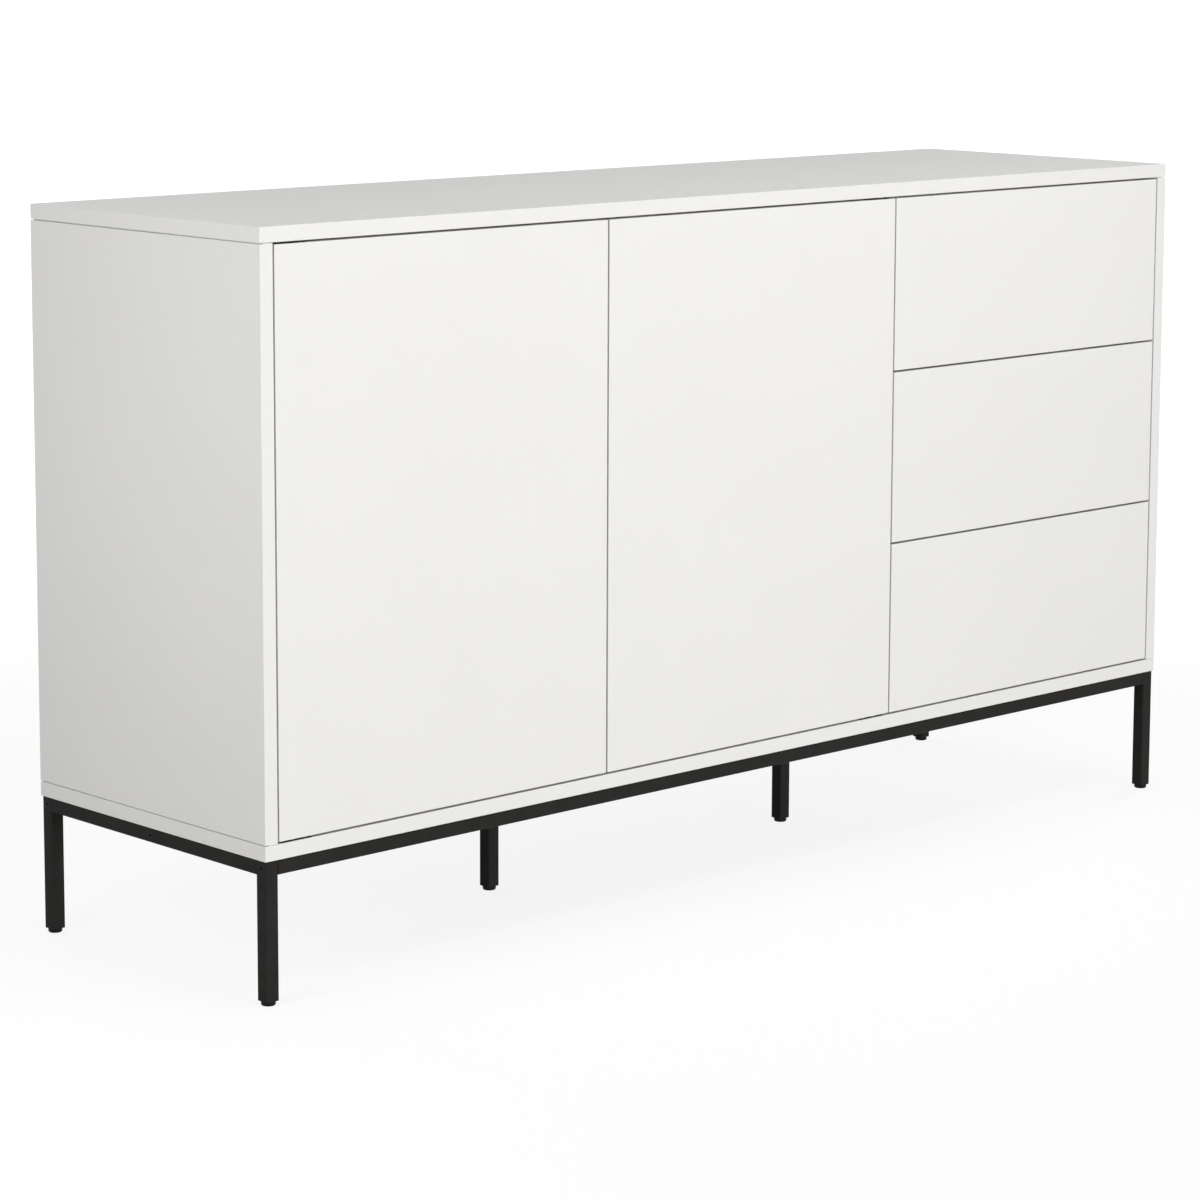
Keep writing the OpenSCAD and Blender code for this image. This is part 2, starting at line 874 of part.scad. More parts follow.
module striker(latch_x) {
    color(zinc_steel)
        difference() {
            translate([latch_x, front_back_y + striker_t, latch_z])
                rotate([90, 0, 0])
                    cylinder(d = striker_d, h = striker_t);
            striker_screw(latch_x, fixed_fit);
        }
}

// ---- Drawers ----

// A drawer's bottom, or with no play the groove that holds it
module drawer_sheet(row, play) {
    z = box_z(row) + drawer_bottom_lift;
    reach = drawer_groove - play;
    block(
        [BOX_X[0] + drawer_board_t - reach, BOX_X[1] - drawer_board_t + reach],
        [BOX_Y[0] - reach, BOX_Y[1] - drawer_board_t + reach],
        [z - groove_play + play, z + drawer_bottom_t + groove_play - play]
    );
}

module drawer_front(row) {
    color(white_board)
        difference() {
            block(
                [drawer_front_x, drawer_front_x + drawer_front_w],
                [front_y, front_back_y],
                [drawer_z(row), drawer_z(row) + drawer_front_h]
            );
            drawer_sheet(row, 0);
        }
}

module drawer_sides(row) {
    z = [box_z(row), box_z(row) + drawer_side_h];
    color(white_board)
        difference() {
            union() {
                block([BOX_X[0], BOX_X[0] + drawer_board_t], BOX_Y, z);
                block([BOX_X[1] - drawer_board_t, BOX_X[1]], BOX_Y, z);
            }
            drawer_sheet(row, 0);
        }
}

module drawer_back(row) {
    color(white_board)
        difference() {
            block(
                [BOX_X[0] + drawer_board_t, BOX_X[1] - drawer_board_t],
                [BOX_Y[1] - drawer_board_t, BOX_Y[1]],
                [box_z(row), box_z(row) + drawer_side_h]
            );
            drawer_sheet(row, 0);
        }
}

module drawer_bottom(row) {
    color(grey_board)
        drawer_sheet(row, groove_play);
}

module outer_runners() {
    color(zinc_steel)
        difference() {
            for (row = [0 : drawer_rows - 1])
                at_runners(row)
                    channel([0, runner_channel], runner_h, 0);
            all_runner_screws(fixed_fit);
        }
}

module middle_runners(row) {
    color(zinc_steel)
        at_runners(row)
            channel(
                [runner_step, runner_t - runner_steel - runner_web_play],
                runner_h - 2 * runner_step,
                runner_step
            );
}

module inner_runners(row) {
    color(zinc_steel)
        at_runners(row)
            channel([2 * runner_step, runner_t], runner_h - 4 * runner_step, runner_t - runner_steel);
}

top_panel();
bottom_panel();
left_side();
right_side();
centre_divider();
drawer_divider();
back_panels();
shelf(LEFT_BAY);  // left_shelf
shelf(MIDDLE_BAY);  // middle_shelf
shelf_pins();
cam_locks();
cam_bolts();
dowels();
corner_leg(-1, -1);  // front_left_leg
corner_leg(1, -1);  // front_right_leg
corner_leg(-1, 1);  // rear_left_leg
corner_leg(1, 1);  // rear_right_leg
middle_legs();
long_rail(-1);  // front_rail
long_rail(1);  // rear_rail
long_rail(0);  // middle_rail
end_rail(-1);  // left_rail
end_rail(1);  // right_rail
frame_bolts();
glides();
mounting_tabs();
base_screws();
case_pivot_plates();
pivot_pins();
case_screws();
latch_housings();
outer_runners();
door_panel(left_door_x, LEFT_PIVOT, left_latch_x);  // left_door
door_plates(LEFT_PIVOT);  // left_door_plates
striker(left_latch_x);  // left_door_striker
door_screws(LEFT_PIVOT, left_latch_x);  // left_door_screws
latch_plunger(left_latch_x);  // left_plunger
door_panel(middle_door_x, MIDDLE_PIVOT, middle_latch_x);  // middle_door
door_plates(MIDDLE_PIVOT);  // middle_door_plates
striker(middle_latch_x);  // middle_door_striker
door_screws(MIDDLE_PIVOT, middle_latch_x);  // middle_door_screws
latch_plunger(middle_latch_x);  // middle_plunger
drawer_front(2);  // top_drawer_front
drawer_sides(2);  // top_drawer_sides
drawer_back(2);  // top_drawer_back
drawer_bottom(2);  // top_drawer_bottom
inner_runners(2);  // top_drawer_runners
middle_runners(2);  // top_middle_runners
drawer_front(1);  // middle_drawer_front
drawer_sides(1);  // middle_drawer_sides
drawer_back(1);  // middle_drawer_back
drawer_bottom(1);  // middle_drawer_bottom
inner_runners(1);  // middle_drawer_runners
middle_runners(1);  // middle_middle_runners
drawer_front(0);  // bottom_drawer_front
drawer_sides(0);  // bottom_drawer_sides
drawer_back(0);  // bottom_drawer_back
drawer_bottom(0);  // bottom_drawer_bottom
inner_runners(0);  // bottom_drawer_runners
middle_runners(0);  // bottom_middle_runners
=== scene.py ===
"""A low white sideboard with push-open doors and drawers on a black square-tube base.

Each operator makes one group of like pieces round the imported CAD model, in metres, in its frame.
"""

import json
import math
import random

import bmesh
import bpy
from bpy.props import FloatProperty, FloatVectorProperty, IntProperty, PointerProperty
from mathutils import Matrix, Vector


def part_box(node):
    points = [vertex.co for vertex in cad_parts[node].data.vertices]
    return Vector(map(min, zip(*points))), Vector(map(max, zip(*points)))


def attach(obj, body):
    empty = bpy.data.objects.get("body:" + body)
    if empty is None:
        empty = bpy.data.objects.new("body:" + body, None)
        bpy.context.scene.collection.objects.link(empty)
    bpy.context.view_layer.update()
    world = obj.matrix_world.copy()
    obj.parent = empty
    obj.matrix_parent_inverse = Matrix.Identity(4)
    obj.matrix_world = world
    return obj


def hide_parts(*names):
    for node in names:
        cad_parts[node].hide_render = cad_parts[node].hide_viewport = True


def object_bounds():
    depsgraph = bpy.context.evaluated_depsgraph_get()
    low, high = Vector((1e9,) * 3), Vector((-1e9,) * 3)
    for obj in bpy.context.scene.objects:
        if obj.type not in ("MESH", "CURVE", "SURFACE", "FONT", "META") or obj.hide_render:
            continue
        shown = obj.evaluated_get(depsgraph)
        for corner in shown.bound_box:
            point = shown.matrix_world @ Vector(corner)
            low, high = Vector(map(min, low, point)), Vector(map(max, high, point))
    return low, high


bl_info = {
    "name": "White sideboard",
    "version": (1, 0, 0),
    "blender": (4, 5, 0),
    "location": "3D View > Sidebar > Sideboard",
    "description": "Makes a low white sideboard with two doors, three drawers and a tube base",
    "category": "Object",
}

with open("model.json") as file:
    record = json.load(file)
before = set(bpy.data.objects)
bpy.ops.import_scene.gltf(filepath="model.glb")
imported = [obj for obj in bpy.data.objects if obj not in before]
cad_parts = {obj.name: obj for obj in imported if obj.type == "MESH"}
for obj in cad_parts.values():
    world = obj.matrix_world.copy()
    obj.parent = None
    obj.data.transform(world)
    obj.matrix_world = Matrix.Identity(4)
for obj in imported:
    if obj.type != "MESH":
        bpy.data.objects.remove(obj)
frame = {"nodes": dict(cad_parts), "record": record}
CAD_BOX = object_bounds()

RECORD = frame["record"]
BODY_OF = {node: body for body, nodes in RECORD["behaviour"]["bodies"].items() for node in nodes}

MM = 0.001
SAME_POINT = 0.001 * MM
FLAT_ANGLE = math.radians(0.5)
SMOOTH_ANGLE = math.radians(35)
CORNER_ANGLE = math.radians(60)
# The share of an edge's length that lies along an axis where the edge runs along it
ALONG = 0.99

# What the settings of one kind have in common
COLOUR = {"subtype": "COLOR", "min": 0, "max": 1}
LENGTH = {"unit": "LENGTH", "subtype": "DISTANCE", "precision": 4}

ROWS = ("top", "middle", "bottom")
CASE_BOARDS = (
    "top_panel", "bottom_panel", "left_side", "right_side",
    "centre_divider", "drawer_divider", "left_shelf", "middle_shelf",
)
SIDES = ("left_side", "right_side")
DOORS = ("left_door", "middle_door")
CORNER_LEGS = ("front_left_leg", "front_right_leg", "rear_left_leg", "rear_right_leg")
RAILS = ("front_rail", "rear_rail", "middle_rail", "left_rail", "right_rail")
SCREW_NODES = ("case_screws", "base_screws", "left_door_screws", "middle_door_screws")


# ---- Colours and materials ----

# Materials that more than one operator uses
COATED_STEEL = "Black powder coated steel"
OXIDE_STEEL = "Black oxide steel"
ZINC_STEEL = "Zinc plated steel"

# Nearly all of the noise lies between these levels
NOISE_LOW, NOISE_HIGH = 0.3, 0.7


def linear(hex_colour):
    """The linear red, green and blue of an sRGB hex colour."""
    channels = [int(hex_colour[i:i + 2], 16) / 255 for i in (1, 3, 5)]
    return tuple(c / 12.92 if c <= 0.04045 else ((c + 0.055) / 1.055) ** 2.4 for c in channels)


def add_node(tree, kind, sockets=None, **settings):
    """Adds a shader node. Each entry of sockets is a value or another node's output."""
    node = tree.nodes.new(kind)
    for name, value in settings.items():
        setattr(node, name, value)
    for name, value in (sockets or {}).items():
        if isinstance(value, bpy.types.NodeSocket):
            tree.links.new(value, node.inputs[name])
        else:
            node.inputs[name].default_value = value
    return node


def start_material(name):
    """A new material and its empty node tree."""
    material = bpy.data.materials.new(name)
    material.use_nodes = True
    material.node_tree.nodes.clear()
    return material, material.node_tree


def end_material(tree, sockets):
    """Adds the shader with its sockets and the output."""
    shader = add_node(tree, "ShaderNodeBsdfPrincipled", sockets)
    add_node(tree, "ShaderNodeOutputMaterial", {"Surface": shader.outputs["BSDF"]})


def blotches(tree, size, stretch=(1, 1, 1), detail=2.0):
    """Noise in the piece's own coordinates, about size metres across, drawn out by stretch."""
    place = add_node(tree, "ShaderNodeTexCoord")
    scaled = add_node(tree, "ShaderNodeMapping", {
        "Vector": place.outputs["Object"],
        "Scale": [1 / (size * share) for share in stretch],
    })
    noise = add_node(tree, "ShaderNodeTexNoise", {
        "Vector": scaled.outputs["Vector"], "Scale": 1.0, "Detail": detail,
    })
    return noise.outputs["Fac"]


def spread(tree, value, low, high):
    """Noise spread between two levels."""
    levels = add_node(tree, "ShaderNodeMapRange", {
        "Value": value, "From Min": NOISE_LOW, "From Max": NOISE_HIGH,
        "To Min": low, "To Max": high,
    })
    return levels.outputs["Result"]


def between(tree, value, colour, other):
    """A colour that drifts to another one with the noise."""
    mixed = add_node(tree, "ShaderNodeMix", {
        0: spread(tree, value, 0.0, 1.0), 6: (*colour, 1.0), 7: (*other, 1.0),
    }, data_type="RGBA")
    return mixed.outputs[2]


def shaded(tree, value, colour, amount):
    """A colour that gets darker and lighter by amount, as a share, with the noise."""
    darker, lighter = ([channel * (1 + way * amount) for channel in colour] for way in (-1, 1))
    return between(tree, value, darker, lighter)


def bumps(tree, value, depth):
    """A relief of the noise, depth metres high."""
    relief = add_node(tree, "ShaderNodeBump", {"Height": value, "Distance": depth})
    return relief.outputs["Normal"]


def white_lacquer(name, colour, boards):
    """White lacquer sprayed on smooth board: an even warm white with a wide dull sheen."""
    material, tree = start_material(name)
    # The film's thickness drifts over some 200 mm, which shifts its shade by less than 1%
    film = blotches(tree, 200 * MM)
    # Orange peel of the sprayed film, which breaks up the edge of the sheen
    peel = blotches(tree, boards.peel_size)
    end_material(tree, {
        "Base Color": shaded(tree, film, colour, 0.007),
        "Roughness": spread(tree, peel, 0.50, 0.58),
        "Specular IOR Level": 0.25,
        "Normal": bumps(tree, peel, boards.peel_depth),
    })
    return material


def melamine(boards):
    """Melamine paper pressed on board: a flatter white with a fine pearl texture."""
    material, tree = start_material("Melamine faced board")
    # Pearls of the press plate, 0.5 mm apart
    pearls = blotches(tree, 0.5 * MM)
    end_material(tree, {
        "Base Color": shaded(tree, blotches(tree, 60 * MM), boards.drawer_colour, 0.01),
        "Roughness": spread(tree, pearls, 0.52, 0.62),
        "Specular IOR Level": 0.35,
        "Normal": bumps(tree, pearls, 0.01 * MM),
    })
    return material


def printed_hardboard(boards):
    """Thin hardboard with a printed white face: a little greyer, with the fibres' mottle."""
    material, tree = start_material("White faced hardboard")
    fibres = blotches(tree, 0.8 * MM, (1.0, 1.0, 3.0), detail=4.0)
    end_material(tree, {
        "Base Color": shaded(tree, fibres, boards.back_colour, 0.02),
        "Roughness": spread(tree, fibres, 0.6, 0.75),
        "Specular IOR Level": 0.3,
        "Normal": bumps(tree, fibres, 0.015 * MM),
    })
    return material


def powder_coat(base):
    """Black polyester powder baked on steel tube: satin, with a fine pebbled skin."""
    material, tree = start_material(COATED_STEEL)
    pebbles = blotches(tree, base.pebble_size)
    end_material(tree, {
        "Base Color": shaded(tree, blotches(tree, 30 * MM), base.steel_colour, 0.08),
        "Roughness": spread(tree, pebbles, 0.44, 0.56),
        "Specular IOR Level": 0.03,
        "Normal": bumps(tree, pebbles, 0.03 * MM),
    })
    return material


def black_oxide(base):
    """Blackened bolt steel: a thin blue-black skin that still shines like metal."""
    material, tree = start_material(OXIDE_STEEL)
    skin = blotches(tree, 1.2 * MM)
    end_material(tree, {
        "Base Color": shaded(tree, skin, base.bolt_colour, 0.15),
        "Metallic": 1.0,
        "Roughness": spread(tree, skin, 0.34, 0.46),
        "Normal": bumps(tree, skin, 0.005 * MM),
    })
    return material


def moulded_plastic(name, colour, grain_size, specular):
    """Injection moulded plastic with a spark-eroded grain, which dulls its shine evenly."""
    material, tree = start_material(name)
    grain = blotches(tree, grain_size)
    end_material(tree, {
        "Base Color": shaded(tree, blotches(tree, 8 * MM), colour, 0.03),
        "Roughness": spread(tree, grain, 0.42, 0.55),
        "Specular IOR Level": specular,
        "Normal": bumps(tree, grain, 0.012 * MM),
    })
    return material


def zinc_plate(fittings):
    """Bright zinc plate on small steel parts: a cool silver with a slightly uneven gloss."""
    material, tree = start_material(ZINC_STEEL)
    bath = blotches(tree, 4 * MM)
    scuffs = blotches(tree, 0.6 * MM, detail=4.0)
    end_material(tree, {
        "Base Color": between(tree, bath, linear("#C6C9CC"), fittings.zinc_colour),
        "Metallic": 1.0,
        "Roughness": spread(tree, scuffs, 0.26, 0.40),
        "Normal": bumps(tree, scuffs, 0.004 * MM),
    })
    return material


def rolled_steel(runners):
    """Zinc plated strip rolled to a channel: fine bright streaks along the runner."""
    material, tree = start_material("Rolled runner steel")
    streaks = blotches(tree, runners.streak_size, (1, 80, 1), detail=3.0)
    end_material(tree, {
        "Base Color": shaded(tree, streaks, runners.steel_colour, 0.06),
        "Metallic": 1.0,
        "Roughness": spread(tree, streaks, 0.28, 0.42),
        "Normal": bumps(tree, streaks, 0.004 * MM),
    })
    return material


def turned_beech(fittings):
    """Raw beech dowel: pale reddish wood with short dark flecks along the grain."""
    material, tree = start_material("Turned beech")
    fibres = blotches(tree, 0.5 * MM, (1, 1, 14), detail=4.0)
    end_material(tree, {
        "Base Color": between(tree, fibres, linear("#BF9463"), fittings.beech_colour),
        "Roughness": spread(tree, fibres, 0.6, 0.75),
        "Specular IOR Level": 0.3,
        "Normal": bumps(tree, fibres, 0.03 * MM),
    })
    return material


# ---- Meshes ----

def merged_copy(node):
    """A CAD node's shape, with its loose triangles merged into flat faces."""
    bm = bmesh.new()
    bm.from_mesh(frame["nodes"][node].data)
    bmesh.ops.remove_doubles(bm, verts=bm.verts[:], dist=SAME_POINT)
    bmesh.ops.dissolve_limit(bm, angle_limit=FLAT_ANGLE, verts=bm.verts[:], edges=bm.edges[:])
    return bm


def solids(bm):
    """The vertices of each separate solid, solid by solid."""
    seen, found = set(), []
    for first in bm.verts:
        if first in seen:
            continue
        seen.add(first)
        group, waiting = [], [first]
        while waiting:
            vert = waiting.pop()
            group.append(vert)
            for edge in vert.link_edges:
                other = edge.other_vert(vert)
                if other not in seen:
                    seen.add(other)
                    waiting.append(other)
        found.append(group)
    return found


def box_of(verts):
    """The lowest and highest corners of the box round some vertices."""
    corners = [[pick(vert.co[axis] for vert in verts) for axis in range(3)] for pick in (min, max)]
    return Vector(corners[0]), Vector(corners[1])


def is_corner(edge, convex=True):
    """Whether an edge turns by about a right angle, outwards or else inwards."""
    return (
        edge.is_manifold and edge.is_convex == convex
        and edge.calc_face_angle() > CORNER_ANGLE
    )


def box_edges(bm):
    """The outer edges of each board, which lie on the edges of its own box."""
    chosen = []
    for verts in solids(bm):
        box = box_of(verts)
        planes = {
            vert: {
                (axis, side) for axis in range(3) for side in range(2)
                if abs(vert.co[axis] - box[side][axis]) < SAME_POINT
            }
            for vert in verts
        }
        edges = dict.fromkeys(edge for vert in verts for edge in vert.link_edges)
        chosen += [
            edge for edge in edges
            if is_corner(edge) and len(planes[edge.verts[0]] & planes[edge.verts[1]]) > 1
        ]
    return chosen


def corner_edges(bm):
    """Every outer edge that turns by about a right angle."""
    return [edge for edge in bm.edges if is_corner(edge)]


def bend_edges(bm):
    """The edges of a rolled channel, outer ones first, that run along its length."""
    corners = corner_edges(bm) + [edge for edge in bm.edges if is_corner(edge, convex=False)]
    return [
        edge for edge in corners
        if abs(edge.verts[0].co.y - edge.verts[1].co.y) > ALONG * edge.calc_length()
    ]


def round_edges(bm, edges, radius, segments=3):
    """Rounds the edges, unless there are none or the radius is nothing."""
    if edges and radius > 0:
        bmesh.ops.bevel(
            bm, geom=edges, offset=radius, offset_type="OFFSET", affect="EDGES",
            segments=segments, profile=0.5, material=-1, clamp_overlap=True,
        )


def make_piece(name, bm, material, *nodes, body=None, slot=None):
    """Makes a piece of a finished mesh that stands for CAD nodes and rides on their body."""
    mesh = bpy.data.meshes.new(name)
    for face in bm.faces:
        face.material_index = 0
    bm.to_mesh(mesh)
    bm.free()
    mesh.materials.append(material)
    mesh.shade_smooth()
    mesh.set_sharp_from_angle(angle=SMOOTH_ANGLE)
    piece = bpy.data.objects.new(name, mesh)
    bpy.context.scene.collection.objects.link(piece)
    weighted = piece.modifiers.new("Weighted normals", "WEIGHTED_NORMAL")
    weighted.keep_sharp = True
    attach(piece, body or BODY_OF[nodes[0]])
    if nodes:
        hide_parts(*nodes)
    return piece


def carry_over(node, material, choose=None, radius=0.0, segments=3, shape=None):
    """Makes a piece of a CAD node, or of its own changed shape, with the chosen edges rounded."""
    bm = shape or merged_copy(node)
    if choose:
        round_edges(bm, choose(bm), radius, segments)
    return make_piece("finished_" + node, bm, material, node)


def paint(node, material):
    """Gives a CAD node, whose shape stays, its material."""
    piece = frame["nodes"][node]
    if not piece.material_slots:
        piece.data.materials.append(material)
    for entry in piece.material_slots:
        entry.material = material


def spin_profile(profile, steps):
    """A turned shape round Z from points of radius and height, from axis to axis."""
    bm = bmesh.new()
    verts = [bm.verts.new((radius, 0, height)) for radius, height in profile]
    edges = [bm.edges.new(pair) for pair in zip(verts, verts[1:])]
    bmesh.ops.spin(
        bm, geom=verts + edges, cent=(0, 0, 0), axis=(0, 0, 1), angle=math.tau,
        steps=steps, use_merge=True,
    )
    bmesh.ops.remove_doubles(bm, verts=bm.verts[:], dist=SAME_POINT)
    bmesh.ops.recalc_face_normals(bm, faces=bm.faces[:])
    return bm


def bar(size, centre=(0, 0, 0)):
    """A box by its size and its centre."""
    bm = bmesh.new()
    bmesh.ops.create_cube(
        bm, size=1, matrix=Matrix.Translation(centre) @ Matrix.Diagonal((*size, 1)),
    )
    return bm


def carve(bm, cutters):
    """Cuts the cutters' shapes out of a mesh, one after another."""
    scene = bpy.context.scene
    objects = []
    for part in (bm, *cutters):
        mesh = bpy.data.meshes.new("carving")
        part.to_mesh(mesh)
        part.free()
        objects.append(bpy.data.objects.new("carving", mesh))
        scene.collection.objects.link(objects[-1])
    for cutter in objects[1:]:
        cut = objects[0].modifiers.new("Cut", "BOOLEAN")
        cut.operation, cut.solver, cut.object = "DIFFERENCE", "EXACT", cutter
    bpy.context.view_layer.update()
    evaluated = objects[0].evaluated_get(bpy.context.evaluated_depsgraph_get())
    carved = bmesh.new()
    carved.from_mesh(evaluated.to_mesh())
    evaluated.to_mesh_clear()
    for thing in objects:
        bpy.data.meshes.remove(thing.data)
    return carved


def put_copies(pattern, places):
    """Copies a mesh to each place, a matrix, and gives them all as one mesh."""
    mesh = bpy.data.meshes.new("pattern")
    pattern.to_mesh(mesh)
    pattern.free()
    bm = bmesh.new()
    for place in places:
        start = len(bm.verts)
        bm.from_mesh(mesh)
        bm.verts.ensure_lookup_table()
        bmesh.ops.transform(bm, matrix=place, verts=bm.verts[start:])
    bpy.data.meshes.remove(mesh)
    return bm


# ---- Stage ----

WHITE = (1.0, 1.0, 1.0, 1.0)
SENSOR_WIDTH = 36
FLOOR_REACH = 30.0
CASE_MIDDLE = (0.0, 0.0, 0.5)
LEFT_END = (CAD_BOX[0][0], 0.0, 0.6)
# For each lamp: where it hangs, the point that it shines on, and its width and height
LAMPS = {
    "front": ((-0.1, -5.0, 0.45), CASE_MIDDLE, (1.6, 0.8)),
    "left": ((-2.15, -0.38, 1.0), LEFT_END, (0.8, 0.8)),
    "right": ((5.0, 0.6, 1.7), CASE_MIDDLE, (2.4, 2.4)),
    "rear": ((0.4, 5.0, 1.7), CASE_MIDDLE, (3.0, 2.4)),
    "top": ((0.1, -1.35, 2.6), CASE_MIDDLE, (2.4, 0.8)),
}


class StageSettings(bpy.types.PropertyGroup):
    floor_colour: FloatVectorProperty(
        name="Floor", description="Colour of the floor",
        default=linear("#C4C4C2"), **COLOUR)
    floor_glow: FloatProperty(
        name="Floor glow", description="How bright the floor looks to the camera by itself",
        default=1.25, min=0)
    shadow_share: FloatProperty(
        name="Shadow share", description="Share of the glow below the sideboard, where shadow shows",
        default=0.68, min=0, max=1, subtype="FACTOR")
    glow_start: FloatProperty(
        name="Glow start", description="How far from the middle the glow starts to grow",
        default=1.2, min=0, **LENGTH)
    glow_end: FloatProperty(
        name="Glow end", description="How far from the middle the glow is whole",
        default=3.5, min=0, **LENGTH)
    ambient: FloatProperty(
        name="Sky light", description="Strength of the even light from all round", default=0.25)
    front_power: FloatProperty(
        name="Front light", description="Power of the low light before the doors and drawers",
        default=117.0, unit="POWER")
    left_power: FloatProperty(
        name="Left light", description="Power of the light beside the left end",
        default=11.2, unit="POWER")
    right_power: FloatProperty(
        name="Right light", description="Power of the light beyond the right end",
        default=80.0, unit="POWER")
    rear_power: FloatProperty(
        name="Rear light", description="Power of the light behind the sideboard",
        default=80.0, unit="POWER")
    top_power: FloatProperty(
        name="Top light", description="Power of the light above", default=18.8, unit="POWER")
    camera_place: FloatVectorProperty(
        name="Camera", description="Where the camera stands", subtype="TRANSLATION",
        unit="LENGTH", default=(-3.3391, -3.4641, 1.2377))
    camera_yaw: FloatProperty(
        name="Turn", description="How far the camera turns to the right of +Y",
        default=0.7556, subtype="ANGLE")
    camera_pitch: FloatProperty(
        name="Tilt", description="How far the camera looks down",
        default=0.14237, subtype="ANGLE")
    camera_roll: FloatProperty(
        name="Roll", description="How far the camera leans", default=0.0035, subtype="ANGLE")
    lens: FloatProperty(
        name="Lens", description="Focal length for a frame 36 mm wide",
        default=111.79, unit="CAMERA")
    shift: FloatProperty(
        name="Vertical shift", description="Shift of the frame, as a share of its width",
        default=-0.13)


def seen_directly(tree):
    """1 for a ray from the camera, or one that was mirrored or let through on its way."""
    path = add_node(tree, "ShaderNodeLightPath")
    result = path.outputs["Is Camera Ray"]
    for ray in ("Is Glossy Ray", "Is Transmission Ray"):
        result = add_node(
            tree, "ShaderNodeMath", {0: result, 1: path.outputs[ray]}, operation="MAXIMUM",
        ).outputs["Value"]
    return result


def make_world(ambient):
    """Even light, behind which the background itself is plain white."""
    world = bpy.data.worlds.new("Studio")
    world.use_nodes = True
    tree = world.node_tree
    tree.nodes.clear()
    light = add_node(tree, "ShaderNodeBackground", {"Color": WHITE, "Strength": ambient})
    backdrop = add_node(tree, "ShaderNodeBackground", {"Color": WHITE, "Strength": 1.0})
    chosen = add_node(tree, "ShaderNodeMixShader", {
        0: seen_directly(tree),
        1: light.outputs["Background"],
        2: backdrop.outputs["Background"],
    })
    add_node(tree, "ShaderNodeOutputWorld", {"Surface": chosen.outputs["Shader"]})
    bpy.context.scene.world = world


def floor_paint(stage):
    """Pale paper that looks white to the camera, all the more away from the sideboard's shadow."""
    material, tree = start_material("Pale paper floor")
    paper = add_node(tree, "ShaderNodeBsdfDiffuse", {"Color": (*stage.floor_colour, 1.0)})
    glow = add_node(tree, "ShaderNodeEmission", {"Color": WHITE, "Strength": stage.floor_glow})
    place = add_node(tree, "ShaderNodeTexCoord")
    distance = add_node(
        tree, "ShaderNodeVectorMath", {0: place.outputs["Object"]}, operation="LENGTH",
    )
    faded = add_node(tree, "ShaderNodeMapRange", {
        "Value": distance.outputs["Value"],
        "From Min": stage.glow_start, "From Max": stage.glow_end,
        "To Min": stage.shadow_share, "To Max": 1.0,
    }, interpolation_type="SMOOTHSTEP")
    share = add_node(tree, "ShaderNodeMath", {
        0: seen_directly(tree), 1: faded.outputs["Result"],
    }, operation="MULTIPLY")
    mixed = add_node(tree, "ShaderNodeMixShader", {
        0: share.outputs["Value"], 1: paper.outputs["BSDF"], 2: glow.outputs["Emission"],
    })
    add_node(tree, "ShaderNodeOutputMaterial", {"Surface": mixed.outputs["Shader"]})
    return material


def add_floor(stage):
    """Lays the floor, which is no piece of the sideboard."""
    bm = bmesh.new()
    bmesh.ops.create_grid(bm, x_segments=1, y_segments=1, size=FLOOR_REACH)
    mesh = bpy.data.meshes.new("floor")
    bm.to_mesh(mesh)
    bm.free()
    mesh.materials.append(floor_paint(stage))
    floor = bpy.data.objects.new("floor", mesh)
    bpy.context.scene.collection.objects.link(floor)


def add_lamp(name, place, aim, size, power):
    """Hangs a large soft lamp that shines on a point."""
    lamp = bpy.data.lights.new(name, "AREA")
    lamp.shape = "RECTANGLE"
    lamp.size, lamp.size_y = size
    lamp.energy = power
    holder = bpy.data.objects.new(name, lamp)
    holder.location = place
    away = Vector(place) - Vector(aim)
    holder.rotation_euler = away.to_track_quat("Z", "Y").to_euler()
    holder.visible_camera = False
    bpy.context.scene.collection.objects.link(holder)


def add_camera(stage):
    """Stands the camera in its place, turned, tilted and leant as the settings say."""
    yaw, pitch = stage.camera_yaw, stage.camera_pitch
    ahead = Vector((
        math.sin(yaw) * math.cos(pitch), math.cos(yaw) * math.cos(pitch), -math.sin(pitch),
    ))
    right = Vector((math.cos(yaw), -math.sin(yaw), 0))
    level = Matrix((right, right.cross(ahead), -ahead)).transposed()
    turned = level @ Matrix.Rotation(stage.camera_roll, 3, "Z")
    lens = bpy.data.cameras.new("camera")
    lens.lens = stage.lens
    lens.sensor_width = SENSOR_WIDTH
    lens.shift_y = stage.shift
    camera = bpy.data.objects.new("camera", lens)
    camera.matrix_world = Matrix.Translation(stage.camera_place) @ turned.to_4x4()
    bpy.context.scene.collection.objects.link(camera)
    return camera


class SIDEBOARD_OT_stage(bpy.types.Operator):
    """Make the floor, the soft light and the camera"""

    bl_idname = "sideboard.stage"
    bl_label = "Stage"

    def execute(self, context):
        stage = context.scene.sideboard_stage
        scene = context.scene
        scene.view_settings.view_transform = "Standard"
        make_world(stage.ambient)
        add_floor(stage)
        for name, (place, aim, size) in LAMPS.items():
            add_lamp(name + "_light", place, aim, size, getattr(stage, name + "_power"))
        scene.camera = add_camera(stage)
        return {"FINISHED"}


# ---- Boards ----

